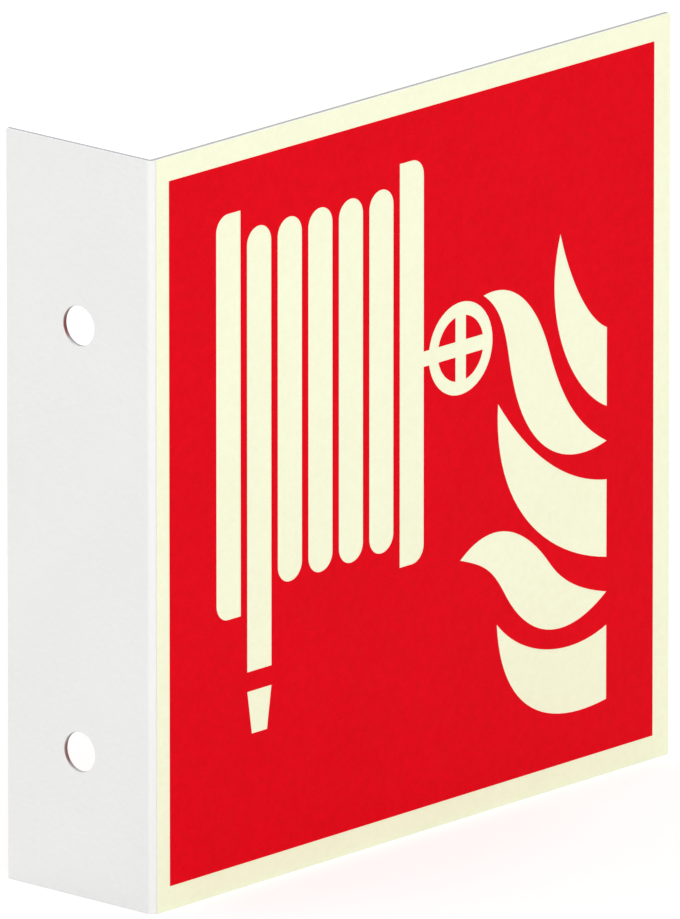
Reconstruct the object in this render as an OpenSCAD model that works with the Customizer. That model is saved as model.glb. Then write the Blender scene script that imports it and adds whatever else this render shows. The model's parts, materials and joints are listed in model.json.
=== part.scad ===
// Projecting fire hose sign.
// One aluminium sheet is folded along its side: the narrow flange is screwed to the wall
// and the square flag stands out from it. Both faces of the flag carry a cream film that
// glows in the dark, and a red print that leaves the symbol clear in it.
// Lengths are in millimetres. +X points away from the wall and +Z up, and the front of the
// flag looks along -Y. The origin is midway between the screw holes, on the wall's face.

/* [Plate] */
// Height of the sign, and the reach of its flag from the wall
sign_side = 150; // [142:1:200]
// Width of the flange over the fold
flange_w = 37.5; // [20:0.5:60]
// Thickness of the sheet
sheet_t = 1; // [0.5:0.1:2]
// Inner radius of the fold
fold_r = 0.3; // [0.1:0.1:1.5]

/* [Screw holes] */
// Diameter of each hole
hole_d = 8; // [4:0.5:12]
// Distance between the centres of the two holes
hole_spacing = 85; // [40:1:110]
// Distance from the middle of the flange down to the middle of the two holes
hole_drop = 3.5; // [0:0.5:10]

/* [Film and ink] */
// Thickness of the cream film on each face of the flag
film_t = 0.3; // [0.1:0.05:0.6]
// Thickness of the red ink
ink_t = 0.05; // [0.02:0.01:0.2]
// Width of the cream border round the red field
border_w = 4.8; // [2:0.2:10]

/* [Hose reel] */
// Distance from the middle of the face to the outer edge of the first cheek
reel_left = 56.8; // [40:0.2:60]
// Height of the reel's shaft above the middle of the face
reel_lift = 19.9; // [0:0.1:25]
// Width of a cheek, and of a turn of hose
bar_w = 7; // [3:0.1:8]
// Distance from one bar to the next
bar_pitch = 8.8; // [8.2:0.1:11]
// Number of turns of hose between the cheeks
hose_turns = 5; // [2:1:6]
// Height of the cheeks
cheek_h = 80.9; // [70:0.1:90]
// Radius of a cheek's two outer corners
cheek_r = 3.4; // [0.5:0.1:3.5]
// Height of a turn of hose over its round ends
turn_h = 72.8; // [50:0.1:85]
// Distance from the reel's shaft down to the end of the hose
tail_drop = 52.1; // [45:0.1:60]
// Clear strip between the hose and the nozzle
nozzle_gap = 3.9; // [1:0.1:8]
// Length of the nozzle
nozzle_len = 8.6; // [4:0.1:12]
// Width of the nozzle at its tip
nozzle_tip_w = 4.4; // [2:0.1:7]

/* [Hand wheel] */
// Outer diameter of the rim
wheel_d = 18.6; // [12:0.2:24]
// Width of the rim
rim_w = 2.7; // [1:0.1:4]
// Width of a spoke, and of the stem to the reel
spoke_w = 3.1; // [1:0.1:4]
// Length of the stem between the cheek and the rim
stem_len = 1.4; // [0.5:0.1:4]

/* [Flames] */
// Distance from the middle of the face to the straight edge that cuts the flames off
flames_right = 56.5; // [50:0.1:65]
// Height of all the flames, from the top tip to the lowest curve
flames_h = 97; // [80:1:110]

/* [Hidden] */
white = "#F2F2F0";
cream = "#F7FADC";
red = "#E3001B";
// Faces of a round edge, and steps along one curve of a flame
$fn = 96;
curve_steps = 24;
// Extra length of a cut past the faces that it goes through, and of the stem into the cheek
past = 1;
// The fold starts and ends where its outer radius meets the flat sheet
bend_r = fold_r + sheet_t;
front_y = -flange_w / 2;
bottom_z = hole_drop - sign_side / 2;
// Each flame is its tip and then the legs round it. A leg of three points is a cubic curve,
// with two control points and its end, and a leg of one point is straight. X runs from the
// cut edge and Y from the middle of the face, on a grid where the flames are 97 high.
flames_grid_h = 97;
flames = [
    [[-13.7, 37], [[-11.5, 29], [-6.5, 18.5], [0, 15.4]], [[0, -0.5]],
        [[-10, 4], [-19.5, 20], [-13.7, 37]]],
    [[-36.2, 29.1], [[-28, 30.8], [-21, 25.5], [-17, 14.5]], [[-14, 6], [-10, -2], [0, -7.5]],
        [[-12.5, -11], [-23.5, -5], [-27.5, 10]], [[-29.5, 16.5], [-29, 24.5], [-36.2, 29.1]]],
    [[-31.9, 6.5], [[-24, -4.5], [-13, -13.5], [0, -15.3]], [[0, -31]],
        [[-17.5, -27.5], [-33.5, -15], [-31.9, 6.5]]],
    [[-42.9, -22.8], [[-34.5, -16.5], [-25, -18.5], [-16.5, -29]], [[-13, -33.2], [-8, -36], [0, -38]],
        [[-11, -45.5], [-22.5, -44], [-30, -32]], [[-33.5, -26.5], [-36, -25], [-42.9, -22.8]]],
    [[-32.2, -37.9], [[-24.5, -46.5], [-10.5, -49], [0, -44.7]], [[0, -59.8]],
        [[-17, -62.5], [-31, -56.5], [-32.2, -37.9]]]
];

// Point of a cubic curve from p0 to p3, where u runs from 0 to 1
function cubic(p0, p1, p2, p3, u) =
    pow(1 - u, 3) * p0 + 3 * pow(1 - u, 2) * u * p1 + 3 * (1 - u) * pow(u, 2) * p2 + pow(u, 3) * p3;

// Points of one leg of a flame, without the point that it starts from
function leg_points(start, leg) =
    len(leg) == 1 ? leg :
    [for (k = [1 : curve_steps]) cubic(start, leg[0], leg[1], leg[2], k / curve_steps)];

// A leg starts at the tip, or where the leg before it ends
function leg_start(flame, i) = i == 1 ? flame[0] : flame[i - 1][len(flame[i - 1]) - 1];

function flame_outline(flame) =
    [for (i = [1 : len(flame) - 1]) each leg_points(leg_start(flame, i), flame[i])];

// Moves flat shapes that are centred on the face onto the front film or the rear film
module on_front() {
    translate([sign_side / 2, front_y - film_t, hole_drop]) rotate([90, 0, 0]) children();
}

module on_rear() {
    translate([sign_side / 2, front_y + sheet_t + film_t, hole_drop]) rotate([90, 0, 180]) children();
}

// Section of the folded sheet, with the outside of the fold at the corner of the square
module sheet_section() {
    difference() {
        square([sign_side, flange_w]);
        // Space inside the fold
        translate([bend_r, sheet_t]) square([sign_side, flange_w]);
        translate([sheet_t, bend_r]) square([sign_side, flange_w]);
        translate([bend_r, bend_r]) circle(r = fold_r);
        // Rounding outside the fold
        difference() {
            translate([-past, -past]) square(bend_r + past);
            translate([bend_r, bend_r]) circle(r = bend_r);
        }
    }
}

module folded_plate() {
    color(white) difference() {
        translate([0, front_y, bottom_z]) linear_extrude(sign_side) sheet_section();
        for (side = [-1, 1]) {
            translate([-past, 0, side * hole_spacing / 2]) rotate([0, 90, 0])
                cylinder(d = hole_d, h = sheet_t + 2 * past);
        }
    }
}

// Film on one face of the flag, from the end of the fold to the three free edges
module film() {
    color(cream) cube([sign_side - bend_r, film_t, sign_side]);
}

module front_film() {
    translate([bend_r, front_y - film_t, bottom_z]) film();
}

module rear_film() {
    translate([bend_r, front_y + sheet_t, bottom_z]) film();
}

// One cheek of the reel, with its two left corners rounded
module cheek() {
    translate([cheek_r, -cheek_h / 2]) square([bar_w - cheek_r, cheek_h]);
    translate([0, cheek_r - cheek_h / 2]) square([bar_w, cheek_h - 2 * cheek_r]);
    for (side = [-1, 1]) {
        translate([cheek_r, side * (cheek_h / 2 - cheek_r)]) circle(r = cheek_r);
    }
}

// One turn of hose, with round ends
module turn() {
    translate([0, (bar_w - turn_h) / 2]) square([bar_w, turn_h - bar_w]);
    for (side = [-1, 1]) {
        translate([bar_w / 2, side * (turn_h - bar_w) / 2]) circle(d = bar_w);
    }
}

// Loose end of the hose, from inside the first turn down to its straight cut, and the nozzle
module tail() {
    translate([0, -tail_drop]) square([bar_w, tail_drop]);
    translate([bar_w / 2, -tail_drop - nozzle_gap]) polygon([
        [-bar_w / 2, 0], [bar_w / 2, 0],
        [nozzle_tip_w / 2, -nozzle_len], [-nozzle_tip_w / 2, -nozzle_len]
    ]);
}

module hose_reel() {
    cheek();
    for (i = [1 : hose_turns]) {
        translate([i * bar_pitch, 0]) turn();
    }
    translate([bar_pitch, 0]) tail();
    translate([(hose_turns + 1) * bar_pitch + bar_w, 0]) mirror([1, 0]) cheek();
}

// Hand wheel and its stem, which runs from inside the reel's last cheek into the rim. The
// spokes end halfway through the rim.
module hand_wheel() {
    spoke_len = wheel_d - rim_w;
    translate([stem_len + wheel_d / 2, 0]) {
        difference() {
            circle(d = wheel_d);
            circle(d = wheel_d - 2 * rim_w);
        }
        square([spoke_w, spoke_len], center = true);
        square([spoke_len, spoke_w], center = true);
    }
    translate([-past, -spoke_w / 2]) square([past + stem_len + rim_w / 2, spoke_w]);
}

module flame_group() {
    for (flame = flames) {
        polygon([for (p = flame_outline(flame)) p * flames_h / flames_grid_h]);
    }
}

// Red field with the symbol left clear in it, centred on the face
module red_print() {
    color(red) linear_extrude(ink_t) difference() {
        square(sign_side - 2 * border_w, center = true);
        translate([-reel_left, reel_lift]) hose_reel();
        translate([(hose_turns + 1) * bar_pitch + bar_w - reel_left, reel_lift]) hand_wheel();
        translate([flames_right, 0]) flame_group();
    }
}

module front_print() {
    on_front() red_print();
}

module rear_print() {
    on_rear() red_print();
}

folded_plate();
front_film();
rear_film();
front_print();
rear_print();
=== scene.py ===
"""Projecting fire hose sign: finishes, floor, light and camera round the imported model."""
import json
import math

import bpy
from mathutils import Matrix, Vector


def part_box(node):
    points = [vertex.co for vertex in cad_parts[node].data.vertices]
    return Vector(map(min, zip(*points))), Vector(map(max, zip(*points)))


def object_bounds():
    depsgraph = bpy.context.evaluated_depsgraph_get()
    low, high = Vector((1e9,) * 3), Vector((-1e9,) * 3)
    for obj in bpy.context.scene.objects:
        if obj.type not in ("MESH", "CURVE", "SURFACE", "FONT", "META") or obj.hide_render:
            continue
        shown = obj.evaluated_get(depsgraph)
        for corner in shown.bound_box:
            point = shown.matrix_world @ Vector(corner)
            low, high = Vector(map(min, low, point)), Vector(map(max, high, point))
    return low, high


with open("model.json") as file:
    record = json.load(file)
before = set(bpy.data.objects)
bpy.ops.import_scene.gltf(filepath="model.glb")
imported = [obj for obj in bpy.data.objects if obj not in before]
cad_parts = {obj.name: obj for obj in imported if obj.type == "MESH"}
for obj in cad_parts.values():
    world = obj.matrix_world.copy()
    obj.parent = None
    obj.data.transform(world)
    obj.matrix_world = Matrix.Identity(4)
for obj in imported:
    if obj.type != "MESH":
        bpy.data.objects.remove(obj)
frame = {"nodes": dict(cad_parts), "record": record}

CAD_LOW, CAD_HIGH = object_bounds()
MM = 0.001

# Places on the part that the finishes need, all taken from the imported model
PLATE_LOW, PLATE_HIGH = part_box("folded_plate")
MOUNTS = {mount["name"]: mount for mount in frame["record"]["mounts"]}
HOLE_RADIUS = MOUNTS["wall_holes"]["dims"]["hole_r_mm"] * MM
HOLE_HEIGHT = MOUNTS["wall_holes"]["dims"]["spacing_y_mm"] / 2 * MM

# Camera: direction round the part, the point on the flag that it looks at, and its lens
CAMERA_AZIMUTH = -48.1
CAMERA_ELEVATION = 15.6
CAMERA_AIM = Vector((54.1, -18.75, 8.2)) * MM
CAMERA_DISTANCE = 5.97
CAMERA_LENS = 1213
CAMERA_NEAREST = 0.1
CAMERA_FURTHEST = 50

# Light: strength of the surroundings, and each soft box as direction, size and power
SURROUND = 0.50
BOX_DISTANCE = 2.4
SOFT_BOXES = {
    "key": {"azimuth": -20, "elevation": 38, "size": 2.2, "power": 33},
    "fill": {"azimuth": -110, "elevation": 28, "size": 2.0, "power": 12},
    "back": {"azimuth": 165, "elevation": 42, "size": 2.0, "power": 21},
    "side": {"azimuth": 92, "elevation": 30, "size": 2.0, "power": 12},
}

# Colours, as linear light. A surface lies between its colour and its shade.
WHITE = (1, 1, 1, 1)
WHITE_COAT = (0.87, 0.872, 0.86, 1)
WHITE_COAT_SHADE = (0.845, 0.85, 0.843, 1)
BARE_METAL = (0.50, 0.505, 0.52, 1)
TORN_METAL = (0.28, 0.285, 0.30, 1)
CREAM = (0.95, 0.977, 0.742, 1)
CREAM_SHADE = (0.875, 0.90, 0.642, 1)
FILM_CORE = (0.88, 0.88, 0.80, 1)
RED = (0.82, 0.0006, 0.0095, 1)
RED_SHADE = (0.67, 0.0004, 0.0070, 1)
FLOOR = (0.78, 0.78, 0.77, 1)
FLOOR_SHADE = (0.76, 0.76, 0.755, 1)

# Floor: half its width, and the lit grey and the glow that the camera sees as white
FLOOR_HALF = 6.0
FLOOR_LIT = (0.45, 0.45, 0.45, 1)
FLOOR_GLOW = 0.60

# The range that most of a noise lies in
NOISE_LOW = 0.3
NOISE_HIGH = 0.7

# Clouds of shade: each layer is its grain size, its detail and the most shade that it adds
COAT_CLOUDS = ((25 * MM, 2.0, 0.7), (2.2 * MM, 2.0, 0.3))
FILM_CLOUDS = ((18 * MM, 2.0, 0.2), (1.4 * MM, 2.0, 0.3), (0.22 * MM, 3.0, 0.5))
INK_CLOUDS = ((22 * MM, 2.0, 0.2), (1.8 * MM, 2.0, 0.35), (0.35 * MM, 3.0, 0.45))
FLOOR_CLOUDS = ((400 * MM, 2.0, 1.0),)

# Relief: each layer is its grain size, its detail and its depth
COAT_RELIEF = ((1.3 * MM, 1.0, 0.12 * MM), (0.16 * MM, 3.0, 0.004 * MM))
FILM_RELIEF = ((3.5 * MM, 1.5, 0.10 * MM), (0.3 * MM, 2.0, 0.02 * MM))
INK_RELIEF = ((2.5 * MM, 1.5, 0.05 * MM), (0.5 * MM, 2.0, 0.015 * MM))

# Lowest and highest roughness, over patches of a few millimetres
COAT_ROUGHNESS = (0.30, 0.38)
FILM_ROUGHNESS = (0.38, 0.50)
INK_ROUGHNESS = (0.40, 0.52)
ROUGHNESS_GRAIN = 4 * MM

# Strength of the plain reflection on film and ink
FILM_SPECULAR = 0.3
INK_SPECULAR = 0.03

# Sheared metal: the depth where the smooth cut ends and the torn one starts, and its streaks
CUT_END = 0.30 * MM
TEAR_START = 0.42 * MM
TEAR_WANDER = 0.07 * MM
TEAR_GRAIN = 1.6 * MM
STREAK_GRAIN = 0.09 * MM
STREAK_DETAIL = 3.0
STREAK_DEPTH = 0.02 * MM
STREAK_SHADE = 0.45
CUT_ROUGHNESS = (0.28, 0.45)
TORN_ROUGHNESS = (0.45, 0.62)

# Where the cuts are: this near to the sheet's free ends and its hole walls, where the sheet's
# normal points up or down at least this much, and where the film's has at most this much of Y
CUT_NEAR = 0.05 * MM
SHEET_END_RISE = 0.8
FILM_EDGE_ACROSS = 0.5

# Ink: pitch of the printing screen's threads, and the depth of their mark
THREAD_PITCH = 0.14 * MM
THREAD_DEPTH = 0.0015 * MM

# Joined into one: points closer together than this, and faces whose directions differ by less
JOIN_DISTANCE = 0.001 * MM
FLAT_ANGLE = math.radians(0.5)

# Rounding: the least turn of an edge that gets it, its steps, and its width on sheet and film
SHARP_ANGLE = math.radians(40)
EDGE_SEGMENTS = 2
PLATE_EDGE = 0.12 * MM
FILM_EDGE = 0.05 * MM


class Graph:
    """The node graph of one material, with short ways to add and link nodes."""

    def __init__(self, name):
        self.material = bpy.data.materials.new(name)
        self.material.use_nodes = True
        self.nodes = self.material.node_tree.nodes
        self.links = self.material.node_tree.links
        self.surface = self.nodes["Principled BSDF"]
        self.output = self.nodes["Material Output"]
        self.point = self.add("ShaderNodeTexCoord").outputs["Object"]

    def put(self, socket, value):
        """Links value to socket if it is a socket, and otherwise sets it there."""
        if isinstance(value, bpy.types.NodeSocket):
            self.links.new(value, socket)
        else:
            socket.default_value = value

    def add(self, kind, inputs=None, **settings):
        """A new node, with its settings made and its inputs filled."""
        node = self.nodes.new(kind)
        for key, value in settings.items():
            setattr(node, key, value)
        for key, value in (inputs or {}).items():
            self.put(node.inputs[key], value)
        return node

    def math(self, operation, *values):
        node = self.add("ShaderNodeMath", dict(enumerate(values)), operation=operation)
        return node.outputs[0]

    def axes(self, vector):
        """The three numbers of a vector, by the names X, Y and Z."""
        return self.add("ShaderNodeSeparateXYZ", {"Vector": vector}).outputs

    def noise(self, grain, detail=2.0, point=None):
        """Noise whose features are about grain metres across."""
        inputs = {"Vector": point or self.point, "Scale": 1 / grain, "Detail": detail}
        return self.add("ShaderNodeTexNoise", inputs).outputs["Fac"]

    def between(self, factor, low, high, from_low=NOISE_LOW, from_high=NOISE_HIGH):
        """A number from low to high as factor runs over its own range."""
        inputs = {
            "Value": factor,
            "From Min": from_low,
            "From Max": from_high,
            "To Min": low,
            "To Max": high,
        }
        return self.add("ShaderNodeMapRange", inputs).outputs["Result"]

    def choose(self, factor, first, second):
        """A number from first to second as factor runs from 0 to 1."""
        return self.add("ShaderNodeMix", {"Factor": factor, "A": first, "B": second}).outputs["Result"]

    def blend(self, factor, first, second):
        """A colour from first to second as factor runs from 0 to 1."""
        node = self.add("ShaderNodeMix", data_type="RGBA")
        self.put(node.inputs["Factor"], factor)
        self.put(node.inputs["A"], first)
        self.put(node.inputs["B"], second)
        return node.outputs["Result"]

    def clouds(self, layers):
        """The sum of the layers' shade, each from 0 to the most that it adds."""
        total = 0.0
        for grain, detail, most in layers:
            total = self.math("ADD", total, self.between(self.noise(grain, detail), 0, most))
        return total

    def bump(self, height, depth, normal=None, strength=1.0):
        """A bump whose height from 0 to 1 is depth metres."""
        inputs = {"Height": height, "Distance": depth, "Strength": strength}
        if normal is not None:
            inputs["Normal"] = normal
        return self.add("ShaderNodeBump", inputs).outputs["Normal"]

    def relief(self, layers, normal=None, strength=1.0):
        """The layers' bumps, one on the other."""
        for grain, detail, depth in layers:
            normal = self.bump(self.noise(grain, detail), depth, normal, strength)
        return normal

    def finish(self, **values):
        """Sets the surface's own sockets, named with _ for a space."""
        for key, value in values.items():
            self.put(self.surface.inputs[key.replace("_", " ")], value)
        return self.material


def at_cut(graph):
    """1 on the sheet's cut ends and hole walls, and 0 on its coated faces."""
    side = graph.axes(graph.add("ShaderNodeNewGeometry").outputs["True Normal"])
    place = graph.axes(graph.point)
    # Distance from the nearer hole's axis, which runs along X
    above = graph.math("SUBTRACT", graph.math("ABSOLUTE", place["Z"]), HOLE_HEIGHT)
    squares = [graph.math("MULTIPLY", value, value) for value in (place["Y"], above)]
    radius = graph.math("SQRT", graph.math("ADD", *squares))
    mask = graph.math("GREATER_THAN", graph.math("ABSOLUTE", side["Z"]), SHEET_END_RISE)
    for place_cut in (
        graph.math("GREATER_THAN", place["Y"], PLATE_HIGH.y - CUT_NEAR),
        graph.math("GREATER_THAN", place["X"], PLATE_HIGH.x - CUT_NEAR),
        graph.math("LESS_THAN", radius, HOLE_RADIUS + CUT_NEAR),
    ):
        mask = graph.math("MAXIMUM", mask, place_cut)
    return mask


def sheared_metal(graph):
    """Colour and roughness of a sheared edge, and the streaks that run straight through the sheet."""
    place = graph.axes(graph.point)
    from_front = graph.math("SUBTRACT", place["Y"], PLATE_LOW.y)
    depth = graph.math("MINIMUM", place["X"], from_front)
    along = graph.math("MAXIMUM", place["X"], from_front)
    on_edge = graph.add("ShaderNodeCombineXYZ", {"X": along, "Y": place["Z"]}).outputs[0]
    streaks = graph.noise(STREAK_GRAIN, STREAK_DETAIL, on_edge)
    wander = graph.between(graph.noise(TEAR_GRAIN), -TEAR_WANDER, TEAR_WANDER)
    torn = graph.between(graph.math("ADD", depth, wander), 0, 1, CUT_END, TEAR_START)
    metal = graph.blend(torn, BARE_METAL, TORN_METAL)
    streaked = graph.blend(graph.between(streaks, 0, STREAK_SHADE), metal, TORN_METAL)
    roughness = graph.choose(
        torn, graph.between(streaks, *CUT_ROUGHNESS), graph.between(streaks, *TORN_ROUGHNESS))
    return streaked, roughness, streaks


def white_coat():
    """Powder coat on the sheet, and bare metal where the sheet was sheared and punched."""
    graph = Graph("white_coat")
    cut = at_cut(graph)
    metal, metal_roughness, streaks = sheared_metal(graph)
    coat = graph.blend(graph.clouds(COAT_CLOUDS), WHITE_COAT, WHITE_COAT_SHADE)
    coat_roughness = graph.between(graph.noise(ROUGHNESS_GRAIN), *COAT_ROUGHNESS)
    peel = graph.relief(COAT_RELIEF, strength=graph.math("SUBTRACT", 1, cut))
    return graph.finish(
        Base_Color=graph.blend(cut, coat, metal),
        Metallic=cut,
        Roughness=graph.choose(cut, coat_roughness, metal_roughness),
        Normal=graph.bump(streaks, STREAK_DEPTH, peel, cut),
    )


def glow_film():
    """Cream film with a fine pigment grain, and a paler core at its cut edges."""
    graph = Graph("glow_film")
    across = graph.axes(graph.add("ShaderNodeNewGeometry").outputs["True Normal"])["Y"]
    at_edge = graph.math("LESS_THAN", graph.math("ABSOLUTE", across), FILM_EDGE_ACROSS)
    cream = graph.blend(graph.clouds(FILM_CLOUDS), CREAM, CREAM_SHADE)
    return graph.finish(
        Base_Color=graph.blend(at_edge, cream, FILM_CORE),
        Roughness=graph.between(graph.noise(ROUGHNESS_GRAIN), *FILM_ROUGHNESS),
        Normal=graph.relief(FILM_RELIEF),
        Specular_IOR_Level=FILM_SPECULAR,
    )


def red_ink():
    """Screen-printed ink, with the faint weave of the screen and small changes of density."""
    graph = Graph("red_ink")
    place = graph.axes(graph.point)
    threads = [
        graph.math("SINE", graph.math("MULTIPLY", place[axis], math.tau / THREAD_PITCH))
        for axis in ("X", "Z")
    ]
    weave = graph.bump(graph.math("MULTIPLY", *threads), THREAD_DEPTH)
    return graph.finish(
        Base_Color=graph.blend(graph.clouds(INK_CLOUDS), RED, RED_SHADE),
        Roughness=graph.between(graph.noise(ROUGHNESS_GRAIN), *INK_ROUGHNESS),
        Normal=graph.relief(INK_RELIEF, weave),
        Specular_IOR_Level=INK_SPECULAR,
    )


def camera_sees(nodes, links):
    """1 for rays that the camera, gloss or glass sees directly, and 0 for diffuse and shadow rays."""
    path = nodes.new("ShaderNodeLightPath")
    total = path.outputs["Is Camera Ray"]
    for name in ("Is Glossy Ray", "Is Transmission Ray"):
        node = nodes.new("ShaderNodeMath")
        node.operation = "MAXIMUM"
        links.new(total, node.inputs[0])
        links.new(path.outputs[name], node.inputs[1])
        total = node.outputs[0]
    return total


def pale_floor():
    """A pale floor that the camera sees as white outside the part's soft shadow."""
    graph = Graph("pale_floor")
    seen = camera_sees(graph.nodes, graph.links)
    tint = graph.blend(graph.clouds(FLOOR_CLOUDS), FLOOR, FLOOR_SHADE)
    plain = graph.add("ShaderNodeBsdfDiffuse", {"Color": tint}).outputs[0]
    lit = graph.add("ShaderNodeBsdfDiffuse", {"Color": FLOOR_LIT}).outputs[0]
    glow = graph.add("ShaderNodeEmission", {"Color": WHITE, "Strength": FLOOR_GLOW}).outputs[0]
    shown = graph.add("ShaderNodeAddShader", {0: lit, 1: glow}).outputs[0]
    mixed = graph.add("ShaderNodeMixShader", {0: seen, 1: plain, 2: shown}).outputs[0]
    graph.nodes.remove(graph.surface)
    graph.links.new(mixed, graph.output.inputs["Surface"])
    graph.material.cycles.emission_sampling = "NONE"
    return graph.material


def dress(node, material, edge_radius):
    """Gives a CAD node its material, and rounds its sharp edges unless edge_radius is 0."""
    piece = frame["nodes"][node]
    piece.data.materials.clear()
    piece.data.materials.append(material)
    weld = piece.modifiers.new("weld", "WELD")
    weld.merge_threshold = JOIN_DISTANCE
    if edge_radius:
        # Each flat stretch becomes one face, because the rounding would fold thin triangles over
        flat = piece.modifiers.new("flat", "DECIMATE")
        flat.decimate_type = "DISSOLVE"
        flat.angle_limit = FLAT_ANGLE
        bevel = piece.modifiers.new("edge", "BEVEL")
        bevel.width = edge_radius
        bevel.segments = EDGE_SEGMENTS
        bevel.limit_method = "ANGLE"
        bevel.angle_limit = SHARP_ANGLE
        # The wide faces keep their own shading, and the rounding leads from one to the next
        shading = piece.modifiers.new("shading", "WEIGHTED_NORMAL")
        shading.keep_sharp = False


def make_floor():
    mesh = bpy.data.meshes.new("floor")
    corners = [(x * FLOOR_HALF, y * FLOOR_HALF, 0) for x, y in ((-1, -1), (1, -1), (1, 1), (-1, 1))]
    mesh.from_pydata(corners, [], [(0, 1, 2, 3)])
    mesh.materials.append(pale_floor())
    floor = bpy.data.objects.new("floor", mesh)
    floor.location = (0, 0, CAD_LOW.z)
    bpy.context.scene.collection.objects.link(floor)


def direction(azimuth, elevation):
    """Unit vector from the part towards a place, where azimuth 0 is in front at -Y."""
    turn, rise = math.radians(azimuth), math.radians(elevation)
    flat = math.cos(rise)
    return Vector((math.sin(turn) * flat, -math.cos(turn) * flat, math.sin(rise)))


def make_light():
    """White surroundings that the camera sees at strength 1, and the soft boxes."""
    world = bpy.data.worlds.new("surroundings")
    bpy.context.scene.world = world
    world.use_nodes = True
    nodes, links = world.node_tree.nodes, world.node_tree.links
    background = nodes["Background"]
    background.inputs["Color"].default_value = WHITE
    strength = nodes.new("ShaderNodeMapRange")
    strength.inputs["To Min"].default_value = SURROUND
    strength.inputs["To Max"].default_value = 1
    links.new(camera_sees(nodes, links), strength.inputs["Value"])
    links.new(strength.outputs["Result"], background.inputs["Strength"])
    for name, box in SOFT_BOXES.items():
        light = bpy.data.lights.new(name, "AREA")
        light.size = box["size"]
        light.energy = box["power"]
        lamp = bpy.data.objects.new(name, light)
        towards = direction(box["azimuth"], box["elevation"])
        lamp.location = towards * BOX_DISTANCE
        lamp.rotation_euler = towards.to_track_quat("Z", "Y").to_euler()
        bpy.context.scene.collection.objects.link(lamp)


def make_camera():
    data = bpy.data.cameras.new("camera")
    data.lens = CAMERA_LENS
    data.clip_start = CAMERA_NEAREST
    data.clip_end = CAMERA_FURTHEST
    camera = bpy.data.objects.new("camera", data)
    back = direction(CAMERA_AZIMUTH, CAMERA_ELEVATION)
    camera.location = CAMERA_AIM + back * CAMERA_DISTANCE
    camera.rotation_euler = back.to_track_quat("Z", "Y").to_euler()
    bpy.context.scene.collection.objects.link(camera)
    bpy.context.scene.camera = camera


def main():
    bpy.context.scene.view_settings.view_transform = "Standard"
    film = glow_film()
    ink = red_ink()
    dress("folded_plate", white_coat(), PLATE_EDGE)
    dress("front_film", film, FILM_EDGE)
    dress("rear_film", film, FILM_EDGE)
    dress("front_print", ink, 0)
    dress("rear_print", ink, 0)
    make_floor()
    make_light()
    make_camera()


main()
